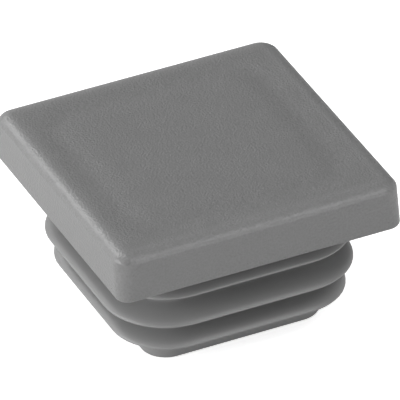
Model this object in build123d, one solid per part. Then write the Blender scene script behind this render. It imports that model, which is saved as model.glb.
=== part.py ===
from build123d import *
import os
from math import radians, tan

# Lamellar end cap that closes the end of a square tube, injection-moulded in one piece.
# A square head lies flush on the tube's end. Below it a hollow square insert carries
# three fins: the last leads the cap into the tube, and the two above it are a little
# wider than the bore, so they bend as the cap is pushed in and grip it.
# The cap stands on the open end of its insert: +Z is up, out of the tube, and the
# origin is the centre of that open end. All lengths are in millimetres, angles in degrees.

# The tube that the cap fits
tube_size = 30.0            # outer width of the square tube, which the head covers
tube_wall = 2.5             # wall of the tube, which the head's underside seats on

# Head
head_thickness = 4.85
head_draft = 0.75           # the sides lean in towards the top, to leave the mould
head_corner = 1.7           # radius of the head's four upright corners
head_edge = 0.95            # soft edge all round the top face
head_foot = 0.4             # small radius where the sides meet the underside

# Insert
insert_length = 11.85       # underside of the head to the open end
neck_clearance = 2.8        # tube's bore to the neck that carries the fins
neck_corner = 3.45          # corner radius of the neck
insert_wall = 1.6           # wall between the neck and the hollow
nose_inset = 0.25           # each side of the open end stands in by this much
nose_corner = 2.7           # corner radius at the open end
nose_edge = 0.25            # bevelled outer rim of the open end

# Fins, numbered from the head down. Each is a wedge with a crisp, upright edge: its upper
# flank steepens towards the edge, and its underside is nearly level
fin_bites = (0.31, 0.41, -0.36)     # how far each fin reaches past the bore's side
first_fin = 2.73            # underside of the head to the lower edge of the first fin
fin_pitch = 3.12            # lower edge of one fin to that of the next
fin_edge = 0.22             # height of the upright edge
fin_brow = 0.9              # width of the steeper part of the upper flank
fin_brow_slope = 24.0       # slope of that part
fin_back_slope = 10.0       # slope of the rest of the upper flank
fin_under_slope = 4.0       # slope of the underside
fin_root = 0.4              # bevel between a fin and the neck

# Hollow
top_skin = 2.2              # plate left between the hollow and the head's top face
hollow_draft = 1.0          # the hollow narrows upwards, to leave its core
hollow_corner = 1.8         # corner radius at the mouth of the hollow
hollow_roof = 0.5           # bevel between the hollow's walls and its roof

# Sizes that follow from the ones above
tube_bore = tube_size - 2 * tube_wall
head_size = tube_size
neck_size = tube_bore - 2 * neck_clearance
corner_centre = neck_size / 2 - neck_corner     # centre of each corner of the neck
nose_size = neck_size - 2 * nose_inset
hollow_size = neck_size - 2 * insert_wall
hollow_depth = insert_length + head_thickness - top_skin
seat_height = insert_length                     # the underside of the head
cap_height = insert_length + head_thickness
fin_heights = [seat_height - first_fin - n * fin_pitch for n in range(len(fin_bites))]
fin_reaches = [neck_clearance + bite for bite in fin_bites]


def rise(width, slope):
    """How far a surface of this slope climbs over the given width."""
    return width * tan(radians(slope))


# The neck ends and the nose begins just under the root of the last fin
neck_foot = fin_heights[-1] - rise(fin_reaches[-1], fin_under_slope) - fin_root


def square_at(height, size, corner):
    """A square outline with rounded corners, level with the given height."""
    return Plane.XY.offset(height) * RectangleRounded(size, size, corner)


def make_head():
    """Square plate with leaning sides and a soft top edge."""
    block = extrude(square_at(seat_height, head_size, head_corner), head_thickness, taper=head_draft)
    block = fillet(block.faces().sort_by(Axis.Z)[-1].edges(), head_edge)
    return fillet(block.faces().sort_by(Axis.Z)[0].edges(), head_foot)


def fin_points(reach, height):
    """Corners of one fin's outline, from the neck above it to the neck below it."""
    side = neck_size / 2
    tip = side + reach
    brow = height + fin_edge + rise(fin_brow, fin_brow_slope)
    back = brow + rise(reach - fin_brow, fin_back_slope)
    under = height - rise(reach, fin_under_slope)
    return [
        (side, back + fin_root),
        (side + fin_root, back - rise(fin_root, fin_back_slope)),
        (tip - fin_brow, brow),
        (tip, height + fin_edge),
        (tip, height),
        (side + fin_root, under + rise(fin_root, fin_under_slope)),
        (side, under - fin_root),
    ]


def neck_section():
    """Half section of the neck and its fins, from the neck's corner centres outwards."""
    side = neck_size / 2
    points = [(corner_centre, seat_height), (side, seat_height)]
    for reach, height in zip(fin_reaches, fin_heights):
        points += fin_points(reach, height)
    points += [(corner_centre, neck_foot), (corner_centre, seat_height)]
    return Plane.XZ * make_face(Polyline(*points))


def make_neck():
    """The section carried along one side and round one corner, four times, about a core."""
    section = neck_section()
    side = extrude(section, corner_centre, both=True)
    corner_axis = Axis((corner_centre, corner_centre, 0), (0, 0, 1))
    corner = revolve(Pos(0, corner_centre, 0) * section, corner_axis, 90)
    core = extrude(Pos(0, 0, neck_foot) * Rectangle(2 * corner_centre, 2 * corner_centre),
                   seat_height - neck_foot)
    return core + PolarLocations(0, 4) * side + PolarLocations(0, 4) * corner


def make_nose():
    """The end that enters the tube first, which narrows towards a bevelled rim."""
    nose = loft([
        square_at(0, nose_size, nose_corner),
        square_at(neck_foot, neck_size, neck_corner),
    ], ruled=True)
    return chamfer(nose.faces().sort_by(Axis.Z)[0].edges(), nose_edge)


def make_hollow():
    """The space inside the insert, open at the bottom and reaching up into the head."""
    hollow = extrude(square_at(0, hollow_size, hollow_corner), hollow_depth, taper=hollow_draft)
    return chamfer(hollow.faces().sort_by(Axis.Z)[-1].edges(), hollow_roof)


end_cap = make_head() + make_neck() + make_nose() - make_hollow()

os.makedirs("parts", exist_ok=True)
export_step(end_cap, "parts/end_cap.step")
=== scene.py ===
from math import cos, degrees, pi, radians, sin, tan
import bpy
import numpy as np
from mathutils import Matrix, Vector


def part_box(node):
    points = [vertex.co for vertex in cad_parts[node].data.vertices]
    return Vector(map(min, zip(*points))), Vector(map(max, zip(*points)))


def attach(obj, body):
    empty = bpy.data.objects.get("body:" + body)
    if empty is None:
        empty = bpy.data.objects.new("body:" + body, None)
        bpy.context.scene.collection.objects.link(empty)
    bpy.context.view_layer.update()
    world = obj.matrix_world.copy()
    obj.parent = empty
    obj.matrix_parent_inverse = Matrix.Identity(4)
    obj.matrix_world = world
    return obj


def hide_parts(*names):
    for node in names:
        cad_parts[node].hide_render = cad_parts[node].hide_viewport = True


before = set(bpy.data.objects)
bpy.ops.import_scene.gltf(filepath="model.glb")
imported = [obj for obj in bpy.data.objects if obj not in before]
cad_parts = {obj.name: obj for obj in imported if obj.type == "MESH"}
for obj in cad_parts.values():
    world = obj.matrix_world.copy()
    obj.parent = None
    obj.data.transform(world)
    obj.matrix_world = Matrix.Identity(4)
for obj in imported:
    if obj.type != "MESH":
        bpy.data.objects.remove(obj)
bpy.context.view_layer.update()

# ---------------------------------------------------------------------------------
# The end cap. One injection moulding in soft grey polyethylene: a square head with
# soft edges, and a hollow finned insert below it that is pushed into a tube's end.
# ---------------------------------------------------------------------------------
MM = 0.001
cap_low, cap_high = (np.array(corner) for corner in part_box("end_cap"))
HEAD_HALF = (cap_high[0] - cap_low[0]) / 2      # middle of the head to its side, at the foot
CAP_TOP = cap_high[2]                           # the open end stands at zero

HEAD_THICKNESS = 4.92 * MM
HEAD_LEAN = tan(radians(0.75))                  # the sides lean in towards the top
HEAD_CORNER_LOW = 1.35 * MM                     # radius of the upright corners at the foot
HEAD_CORNER_HIGH = 1.85 * MM                    # and below the top edge
HEAD_EDGE_ACROSS = 1.45 * MM                    # soft edge round the top, wider than it is deep
HEAD_EDGE_DOWN = 0.78 * MM
HEAD_FOOT = 0.4 * MM                            # radius of the edge round the underside
SEAT = CAP_TOP - HEAD_THICKNESS                 # underside of the head

NECK_HALF = 9.7 * MM
NECK_CORNER = 3.45 * MM
NECK_ROOT_OUT = 0.1 * MM                        # small cut corner where the neck meets the head
NECK_ROOT_DOWN = 0.3 * MM

FIN_HALVES = (12.81 * MM, 12.93 * MM, 12.15 * MM)   # from the head down
FIN_DROPS = (2.73 * MM, 5.92 * MM, 8.95 * MM)       # head's underside to each fin's lower edge
FIN_BACK_LEAN = tan(radians(6))                 # slope of a fin's upper flank at its root
FIN_BROW_LEAN = radians(58)                     # slope of the flank at the edge
FIN_BROW = 0.32 * MM                            # reach of that steeper part
FIN_EDGE = 0.1 * MM                             # small radius at the top of the edge
FIN_LAND = 0.12 * MM                            # upright part of the edge
FIN_CHAMFER = 0.02 * MM                         # keeps the lower edge crisp
FIN_UNDER_FLAT = 0.2 * MM                       # level part of the underside, next to the edge
FIN_UNDER_LEAN = tan(radians(4))                # slope of the rest of the underside
FIN_ROOT = 0.4 * MM                             # reach of the hollow at a fin's root

NOSE_HALF = 9.44 * MM
NOSE_CORNER = 2.68 * MM
NOSE_EDGE = 0.3 * MM
NOSE_HEIGHT = 1.2 * MM
NOSE_DRAFT = 0.05 * MM                          # how far the nose narrows over its height

WALL = 1.6 * MM
TOP_SKIN = 2.2 * MM                             # plate left over the hollow
HOLLOW_HALF = NECK_HALF - WALL
HOLLOW_CORNER = 1.85 * MM
HOLLOW_LEAN = tan(radians(1.0))                 # draft, narrower towards the roof
HOLLOW_ROOF = 0.6 * MM                          # radius between the sides and the roof
HOLLOW_CHAMFER = 0.1 * MM                       # at the open end

SINK_HALF = 11.05 * MM                          # where the head's thick rim sank as it cooled
SINK_CORNER = 3.5 * MM
SINK_WIDTH = 1.4 * MM
SINK_DEPTH = 0.09 * MM

# How many rows each stretch of the section has, and how many columns go round the cap.
TOP_ROWS = 64
TOP_EDGE_ROWS = 24
HEAD_SIDE_ROWS = 16
HEAD_FOOT_ROWS = 9
SEAT_ROWS = 10
FIN_ROOT_ROWS = 5
FIN_FLANK_ROWS = 14
FIN_EDGE_ROWS = 6
FIN_UNDER_ROWS = 4
NOSE_SIDE_ROWS = 4
NOSE_EDGE_ROWS = 6
RIM_ROWS = 4
HOLLOW_SIDE_ROWS = 20
HOLLOW_ROOF_ROWS = 8
ROOF_ROWS = 12
SIDE_COLUMNS = 72
CORNER_COLUMNS = 12


def run(start, end, count):
    """Straight stretch of the section, both ends included. A row of the section is
    (half width, height, half distance between the corners' centres)."""
    return np.linspace(start, end, count)


def bend(centre, radii, start, end, count, corner_centre):
    """Elliptic arc of the section: centre plus (first radius times cosine, second radius
    times sine) of a turning angle in degrees. The corners' centres stay where they are.
    An arc stops a little short of the stretches it joins, so that no rows coincide."""
    turn = np.radians(np.linspace(start, end, count))
    return np.column_stack([
        centre[0] + radii[0] * np.cos(turn),
        centre[1] + radii[1] * np.sin(turn),
        np.full(count, corner_centre),
    ])


def sweep_of(root, pull, tip, count, corner_centre):
    """Quadratic curve from root to tip, drawn towards the point pull on its way:
    (1-t)^2 root + 2t(1-t) pull + t^2 tip."""
    t = np.linspace(0, 1, count)[:, None]
    root, pull, tip = np.array(root), np.array(pull), np.array(tip)
    curve = (1 - t) ** 2 * root + 2 * t * (1 - t) * pull + t ** 2 * tip
    return np.column_stack([curve, np.full(count, corner_centre)])


def fin_rows(half, height, corner_centre):
    """One fin from above: hollow root, upper flank that steepens towards the edge, small
    radius, upright land, crisp lower edge at the given height, nearly level underside.
    The flank is a quadratic curve drawn towards the point where its end slopes meet."""
    reach = half - NECK_HALF
    edge_top = height + FIN_LAND
    brow = (half - FIN_EDGE + FIN_EDGE * sin(FIN_BROW_LEAN),
            edge_top + FIN_EDGE * cos(FIN_BROW_LEAN))
    pull = (brow[0] - FIN_BROW, brow[1] + FIN_BROW * tan(FIN_BROW_LEAN))
    back = pull[1] + (pull[0] - NECK_HALF) * FIN_BACK_LEAN
    under = height - reach * FIN_UNDER_LEAN
    root = (NECK_HALF + FIN_ROOT, back - FIN_ROOT * FIN_BACK_LEAN)
    under_root = (NECK_HALF + FIN_ROOT, under + FIN_ROOT * FIN_UNDER_LEAN)
    edge_angle = 90 - degrees(FIN_BROW_LEAN)
    return np.vstack([
        sweep_of((NECK_HALF, back + FIN_ROOT), (NECK_HALF, back), root,
                 FIN_ROOT_ROWS, corner_centre),
        sweep_of(root, pull, brow, FIN_FLANK_ROWS, corner_centre)[1:],
        bend((half - FIN_EDGE, edge_top), (FIN_EDGE, FIN_EDGE), edge_angle, 0,
             FIN_EDGE_ROWS, corner_centre)[1:],
        run((half, height + FIN_CHAMFER, corner_centre),
            (half - FIN_CHAMFER, height, corner_centre), 2),
        run((half - FIN_UNDER_FLAT, height, corner_centre),
            (*under_root, corner_centre), FIN_UNDER_ROWS),
        sweep_of(under_root, (NECK_HALF, under), (NECK_HALF, under - FIN_ROOT),
                 FIN_ROOT_ROWS, corner_centre)[1:],
    ])


def head_rows(neck_centre):
    """The head's part of the section, from the middle of the top to the neck's root."""
    top_half = HEAD_HALF - HEAD_THICKNESS * HEAD_LEAN
    top_centre = top_half - HEAD_CORNER_HIGH
    foot_centre = HEAD_HALF - HEAD_CORNER_LOW
    top_flat = top_half - HEAD_EDGE_ACROSS
    edge_foot = CAP_TOP - HEAD_EDGE_DOWN
    return [
        run((0, CAP_TOP, 0), (top_flat, CAP_TOP, top_centre), TOP_ROWS),
        bend((top_flat, edge_foot), (HEAD_EDGE_ACROSS, HEAD_EDGE_DOWN), 88, 2,
             TOP_EDGE_ROWS, top_centre),
        run((top_half, edge_foot, top_centre), (HEAD_HALF, SEAT + HEAD_FOOT, foot_centre),
            HEAD_SIDE_ROWS),
        bend((HEAD_HALF - HEAD_FOOT, SEAT + HEAD_FOOT), (HEAD_FOOT, HEAD_FOOT), -8, -82,
             HEAD_FOOT_ROWS, foot_centre),
        run((HEAD_HALF - HEAD_FOOT, SEAT, foot_centre),
            (NECK_HALF + NECK_ROOT_OUT, SEAT, neck_centre), SEAT_ROWS),
        run((NECK_HALF, SEAT - NECK_ROOT_OUT, neck_centre),
            (NECK_HALF, SEAT - NECK_ROOT_DOWN, neck_centre), 2),
    ]


def nose_and_hollow_rows():
    """The rest of the section, from below the last fin to the middle of the roof."""
    nose_centre = NOSE_HALF - NOSE_CORNER
    hollow_centre = HOLLOW_HALF - HOLLOW_CORNER
    roof = CAP_TOP - TOP_SKIN
    roof_half = HOLLOW_HALF - (roof - HOLLOW_ROOF) * HOLLOW_LEAN
    return [
        run((NOSE_HALF + NOSE_DRAFT, NOSE_HEIGHT, nose_centre),
            (NOSE_HALF, NOSE_EDGE, nose_centre), NOSE_SIDE_ROWS),
        bend((NOSE_HALF - NOSE_EDGE, NOSE_EDGE), (NOSE_EDGE, NOSE_EDGE), -10, -80,
             NOSE_EDGE_ROWS, nose_centre),
        run((NOSE_HALF - NOSE_EDGE, 0, nose_centre),
            (HOLLOW_HALF + HOLLOW_CHAMFER, 0, hollow_centre), RIM_ROWS),
        run((HOLLOW_HALF, HOLLOW_CHAMFER, hollow_centre),
            (roof_half, roof - HOLLOW_ROOF, hollow_centre), HOLLOW_SIDE_ROWS),
        bend((roof_half - HOLLOW_ROOF, roof - HOLLOW_ROOF), (HOLLOW_ROOF, HOLLOW_ROOF), 8, 82,
             HOLLOW_ROOF_ROWS, hollow_centre),
        run((roof_half - HOLLOW_ROOF, roof, hollow_centre), (0, roof, 0), ROOF_ROWS),
    ]


def section_rows():
    """The whole section, from the middle of the top face down to the hollow's roof."""
    neck_centre = NECK_HALF - NECK_CORNER
    fins = [fin_rows(half, SEAT - drop, neck_centre) for half, drop in zip(FIN_HALVES, FIN_DROPS)]
    return np.vstack(head_rows(neck_centre) + fins + nose_and_hollow_rows())


def loop_parts(side_count, corner_count):
    """Two rings of directions, square and round, once round the cap. Half the distance
    between the corners' centres times the square ring, plus the corner radius times the
    round one, is a square outline with rounded corners."""
    along = np.linspace(-1, 1, side_count, endpoint=False)
    side_square = np.column_stack([np.ones(side_count), along])
    side_round = np.column_stack([np.ones(side_count), np.zeros(side_count)])
    turn = np.linspace(0, pi / 2, corner_count, endpoint=False)
    corner_square = np.ones((corner_count, 2))
    corner_round = np.column_stack([np.cos(turn), np.sin(turn)])
    square = np.vstack([side_square, corner_square])
    rounded = np.vstack([side_round, corner_round])
    quarter = np.array([[0, 1], [-1, 0]])
    turns = [np.linalg.matrix_power(quarter, n) for n in range(4)]
    return np.vstack([square @ t for t in turns]), np.vstack([rounded @ t for t in turns])


def rounded_square_distance(x, y, half, corner):
    """Distance outside a square outline with rounded corners, negative inside it:
    the length of the part beyond the corner centres, less the corner radius."""
    beyond_x = np.abs(x) - (half - corner)
    beyond_y = np.abs(y) - (half - corner)
    outside = np.hypot(np.maximum(beyond_x, 0), np.maximum(beyond_y, 0))
    inside = np.minimum(np.maximum(beyond_x, beyond_y), 0)
    return outside + inside - corner


def sunk(x, y, z):
    """Lowers the top along the sink ring: the depth times e to the minus square of
    (distance from the ring over its width), fading out down the top edge."""
    away = rounded_square_distance(x, y, SINK_HALF, SINK_CORNER)
    on_top = np.clip((z - (CAP_TOP - HEAD_EDGE_DOWN)) / HEAD_EDGE_DOWN, 0, 1)
    return z - SINK_DEPTH * on_top * np.exp(-(away / SINK_WIDTH) ** 2)


def make_cap():
    """Every row of the section carried round the loop, joined into one closed skin."""
    rows = section_rows()
    square, rounded = loop_parts(SIDE_COLUMNS, CORNER_COLUMNS)
    half, height, centre = rows.T
    ring = centre[:, None, None] * square + (half - centre)[:, None, None] * rounded
    x, y = ring[..., 0], ring[..., 1]
    z = sunk(x, y, np.repeat(height[:, None], len(square), axis=1))

    # The first and last rows are single points: the middles of the top and the roof.
    points = np.stack([x, y, z], axis=-1)
    body = points[1:-1].reshape(-1, 3)
    vertices = np.vstack([points[0, :1], body, points[-1, :1]])
    rows_left, across = len(rows) - 2, len(square)
    grid = 1 + np.arange(rows_left * across).reshape(rows_left, across)
    after = np.roll(grid, -1, axis=1)
    quads = np.stack([grid[:-1], grid[1:], after[1:], after[:-1]], axis=-1).reshape(-1, 4)
    top_fan = np.column_stack([np.zeros(across, int), grid[0], after[0]])
    last = len(vertices) - 1
    roof_fan = np.column_stack([grid[-1], np.full(across, last), after[-1]])
    faces = quads.tolist() + top_fan.tolist() + roof_fan.tolist()
    mesh = bpy.data.meshes.new("end_cap_moulding")
    mesh.from_pydata(vertices.tolist(), [], faces)
    mesh.shade_smooth()
    mesh.validate()
    piece = bpy.data.objects.new("end_cap_moulding", mesh)
    bpy.context.collection.objects.link(piece)
    return piece


# The plastic is coloured in the mass. The mould is spark-eroded round the head, which
# leaves a fine grain there, and smooth round the insert.
# The head and the insert are one plastic, so their two greys differ only by painted light and
# shade.
HEAD_GREY = 0.176               # painted shade: darker than the insert for the shade in its grain
INSERT_GREY = 0.23
CLOUD_SIZE = 2.5 * MM           # faint clouds in the pigment
CLOUD_DETAIL = 3.0
CLOUD_SPREAD = 0.03             # share by which they darken and lighten the insert
CLOUD_SHARE = 0.2               # of the head's unevenness, the rest being grain
GRAIN_SIZE = 0.22 * MM          # the eroded grain on the head
GRAIN_DETAIL = 1.0              # how many finer layers of noise it has
GRAIN_HEIGHT = 0.05 * MM
GRAIN_LEAST = 0.5               # share of that height where the clouds are at nothing
GRAIN_SHADE_SPREAD = 0.24             # share by which it darkens and lightens the head: painted shade in the grain's pits, painted light on its peaks
GRAIN_GLOSS = 0.3               # how much the roughness varies with the grain
HEAD_ROUGHNESS = 0.36
INSERT_ROUGHNESS = 0.42
GRAIN_FROM = SEAT - 0.05 * MM   # the grain fades in over the head's lower edge
GRAIN_FULL = SEAT + 0.15 * MM
SHEEN_FROM = 12.7 * MM            # painted sheen: the rim of the top is painted a little paler
SHEEN_FULL = 13.6 * MM
SHEEN_LOW = CAP_TOP - 0.5 * MM    # and so is the upper part of its edge
SHEEN_HIGH = CAP_TOP - 0.1 * MM
SHEEN_PALER = 0.22                # of the step from the head's darkest grey to its lightest


class Wire:
    """A node's output in a shader, with arithmetic that adds Math nodes."""

    def __init__(self, tree, socket):
        self.tree = tree
        self.socket = socket

    def node(self, kind, settings=None, output=0, **inputs):
        """Adds a node: its settings first, then numbers or wires for its sockets. A
        socket goes by its name, or by an underscore and its number."""
        made = self.tree.nodes.new(kind)
        for name, value in (settings or {}).items():
            setattr(made, name, value)
        for name, value in inputs.items():
            numbered = name[1:].isdigit()
            slot = made.inputs[int(name[1:]) if numbered else name.replace("_", " ")]
            if isinstance(value, Wire):
                self.tree.links.new(value.socket, slot)
            else:
                slot.default_value = value
        return Wire(self.tree, made.outputs[output])

    def math(self, operation, first, second=0.0):
        return self.node("ShaderNodeMath", {"operation": operation}, _0=first, _1=second)

    def fade(self, low, high):
        """Nothing below the low value, one above the high one, and even between."""
        return self.node("ShaderNodeMapRange", {"clamp": True}, Value=self,
                         From_Min=low, From_Max=high, To_Min=0.0, To_Max=1.0)

    def __add__(self, other):
        return self.math("ADD", self, other)

    def __radd__(self, other):
        return self.math("ADD", other, self)

    def __sub__(self, other):
        return self.math("SUBTRACT", self, other)

    def __rsub__(self, other):
        return self.math("SUBTRACT", other, self)

    def __mul__(self, other):
        return self.math("MULTIPLY", self, other)

    def __rmul__(self, other):
        return self.math("MULTIPLY", other, self)


def greys(middle, spread):
    """The darkest and lightest colour of a grey that varies by a share of itself."""
    dark, light = middle * (1 - spread), middle * (1 + spread)
    return {"_6": (dark, dark, dark, 1), "_7": (light, light, light, 1)}


def plastic_material():
    """Smooth plastic on the insert and eroded plastic on the head, which differ in gloss, and in
    colour only by painted shade on the head. Fine noise makes the grain, painted darker in its
    pits and lighter on its peaks, and coarse noise the clouds in the pigment; the rim of the top
    has a painted sheen."""
    material = bpy.data.materials.new("grey_polyethylene")
    material.use_nodes = True
    tree = material.node_tree
    shader = tree.nodes["Principled BSDF"]
    start = Wire(tree, None)
    place = start.node("ShaderNodeTexCoord", output="Object")
    across = start.node("ShaderNodeSeparateXYZ", output="X", Vector=place)
    along = start.node("ShaderNodeSeparateXYZ", output="Y", Vector=place)
    height = start.node("ShaderNodeSeparateXYZ", output="Z", Vector=place)
    on_head = height.fade(GRAIN_FROM, GRAIN_FULL)
    from_middle = start.math("MAXIMUM", start.math("ABSOLUTE", across),
                             start.math("ABSOLUTE", along))
    # Painted sheen along the rim of the top and the upper part of its edge.
    painted_sheen = from_middle.fade(SHEEN_FROM, SHEEN_FULL) * height.fade(SHEEN_LOW, SHEEN_HIGH)
    grain = start.node("ShaderNodeTexNoise", Vector=place, Scale=1 / GRAIN_SIZE,
                       Detail=GRAIN_DETAIL, Roughness=0.5)
    clouds = start.node("ShaderNodeTexNoise", Vector=place, Scale=1 / CLOUD_SIZE,
                        Detail=CLOUD_DETAIL, Roughness=0.5)
    # The head's colour: clouds in the pigment, the grain's painted shade in its pits and painted
    # light on its peaks, and the painted sheen on the rim.
    tone_grain_shade_and_sheen = CLOUD_SHARE * clouds + (1 - CLOUD_SHARE) * grain + SHEEN_PALER * painted_sheen
    mix = {"data_type": "RGBA"}
    smooth = start.node("ShaderNodeMix", mix, output=2, _0=clouds,
                        **greys(INSERT_GREY, CLOUD_SPREAD))
    eroded = start.node("ShaderNodeMix", mix, output=2, _0=tone_grain_shade_and_sheen,
                        **greys(HEAD_GREY, GRAIN_SHADE_SPREAD))
    colour = start.node("ShaderNodeMix", mix, output=2, _0=on_head, _6=smooth, _7=eroded)
    on_head_alone = HEAD_ROUGHNESS - INSERT_ROUGHNESS + GRAIN_GLOSS * (grain - 0.5)
    rough = INSERT_ROUGHNESS + on_head_alone * on_head
    depth = grain * (GRAIN_LEAST + clouds) * on_head
    bump = start.node("ShaderNodeBump", Height=depth, Strength=1.0, Distance=GRAIN_HEIGHT)
    tree.links.new(colour.socket, shader.inputs["Base Color"])
    tree.links.new(rough.socket, shader.inputs["Roughness"])
    tree.links.new(bump.socket, shader.inputs["Normal"])
    return material


cap = make_cap()
cap.data.materials.append(plastic_material())
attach(cap, "root")
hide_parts("end_cap")


# ---------------------------------------------------------------------------------
# The table that the cap stands on: a large sheet of matt white card. To the camera it
# is lighter than its light makes it, so it reads white and keeps only a faint shadow.
# ---------------------------------------------------------------------------------
FLOOR_HALF = 2.0
FLOOR_GREY = 0.85
FLOOR_ROUGHNESS = 0.9
FLOOR_LIFT = 0.7                # added for the camera alone


def make_floor():
    corners = [(-FLOOR_HALF, -FLOOR_HALF, 0), (FLOOR_HALF, -FLOOR_HALF, 0),
               (FLOOR_HALF, FLOOR_HALF, 0), (-FLOOR_HALF, FLOOR_HALF, 0)]
    mesh = bpy.data.meshes.new("table")
    mesh.from_pydata(corners, [], [(0, 1, 2, 3)])
    floor = bpy.data.objects.new("table", mesh)
    bpy.context.collection.objects.link(floor)
    material = bpy.data.materials.new("white_sheet")
    material.use_nodes = True
    tree = material.node_tree
    shader = tree.nodes["Principled BSDF"]
    shader.inputs["Base Color"].default_value = (FLOOR_GREY, FLOOR_GREY, FLOOR_GREY, 1)
    shader.inputs["Roughness"].default_value = FLOOR_ROUGHNESS
    shader.inputs["Emission Strength"].default_value = 1.0
    start = Wire(tree, None)
    lift = start.node("ShaderNodeLightPath", output="Is Camera Ray") * FLOOR_LIFT
    glow = start.node("ShaderNodeCombineColor", Red=lift, Green=lift, Blue=lift)
    tree.links.new(glow.socket, shader.inputs["Emission Color"])
    mesh.materials.append(material)
    return floor


make_floor()


# ---------------------------------------------------------------------------------
# Light: nine soft lamps round the cap, the largest on its left, and a white backdrop
# that the camera sees past the table but that gives no light of its own.
# ---------------------------------------------------------------------------------
LAMP_DISTANCE = 0.6


def make_backdrop():
    """A world that is white to the camera and dark to everything else."""
    world = bpy.data.worlds.new("backdrop")
    bpy.context.scene.world = world
    world.use_nodes = True
    tree = world.node_tree
    seen = Wire(tree, None).node("ShaderNodeLightPath", output="Is Camera Ray")
    tree.links.new(seen.socket, tree.nodes["Background"].inputs["Strength"])
    tree.nodes["Background"].inputs["Color"].default_value = (1, 1, 1, 1)


def soft_lamp(name, azimuth, elevation, width, height, power):
    """A softbox aimed at the cap. Its azimuth, which is nothing at the front and grows
    to the right, and its elevation are in degrees, its sides in metres and its power
    in watts."""
    azimuth, elevation = radians(azimuth), radians(elevation)
    level = cos(elevation)
    towards = Vector((sin(azimuth) * level, -cos(azimuth) * level, sin(elevation)))
    lamp = bpy.data.lights.new(name, "AREA")
    lamp.shape = "RECTANGLE"
    lamp.size = width
    lamp.size_y = height
    lamp.energy = power
    holder = bpy.data.objects.new(name, lamp)
    middle = Vector((0, 0, CAP_TOP / 2))
    holder.location = middle + towards * LAMP_DISTANCE
    holder.rotation_euler = towards.to_track_quat("Z", "Y").to_euler()
    bpy.context.collection.objects.link(holder)


make_backdrop()
soft_lamp("left_lamp", -94, 14, 0.5, 0.35, 3.5)
soft_lamp("upper_left_lamp", -95, 45, 0.4, 0.4, 0.49)
soft_lamp("back_left_lamp", -136, 20, 0.3, 0.3, 0.67)
soft_lamp("high_back_lamp", -163, 42, 0.25, 0.25, 1.37)
soft_lamp("low_back_lamp", 176, 14, 0.4, 0.3, 0.24)
soft_lamp("front_lamp", 10, 42, 0.4, 0.4, 0.41)
soft_lamp("high_right_lamp", 47, 60, 0.3, 0.3, 1.2)
soft_lamp("front_right_lamp", 23, 15, 0.4, 0.4, 1.27)
soft_lamp("right_lamp", 100, 20, 0.4, 0.4, 0.58)


# ---------------------------------------------------------------------------------
# Camera: a long lens from the front left, a third of the way up to overhead.
# ---------------------------------------------------------------------------------
CAMERA_AZIMUTH = radians(-24.229)
CAMERA_ELEVATION = radians(33.704)
CAMERA_ROLL = radians(-1.5535)
CAMERA_DISTANCE = 0.8772
CAMERA_LENS = 816.0             # millimetres
CAMERA_ASIDE = 0.2698 * MM      # it aims to the right of the middle of the head's underside
CAMERA_BELOW = 1.0306 * MM      # and below it
CAMERA_SENSOR = 36              # width, in millimetres as the lens is
CAMERA_NEAR = 0.05              # nothing nearer than this is drawn


def make_camera():
    """Right, up and back are the camera's own axes: back comes from the azimuth and
    elevation, and the other two turn round it by the roll."""
    back = Vector((sin(CAMERA_AZIMUTH) * cos(CAMERA_ELEVATION),
                   -cos(CAMERA_AZIMUTH) * cos(CAMERA_ELEVATION), sin(CAMERA_ELEVATION)))
    level = Vector((cos(CAMERA_AZIMUTH), sin(CAMERA_AZIMUTH), 0))
    over = back.cross(level)
    right = cos(CAMERA_ROLL) * level + sin(CAMERA_ROLL) * over
    up = cos(CAMERA_ROLL) * over - sin(CAMERA_ROLL) * level
    aim = Vector((0, 0, SEAT)) + CAMERA_ASIDE * right - CAMERA_BELOW * up
    turned = Matrix((right, up, back)).transposed().to_4x4()
    camera = bpy.data.objects.new("camera", bpy.data.cameras.new("camera"))
    camera.data.sensor_width = CAMERA_SENSOR
    camera.data.lens = CAMERA_LENS
    camera.data.clip_start = CAMERA_NEAR
    camera.matrix_world = Matrix.Translation(aim + CAMERA_DISTANCE * back) @ turned
    bpy.context.collection.objects.link(camera)
    bpy.context.scene.camera = camera


make_camera()
bpy.context.scene.view_settings.view_transform = "Standard"
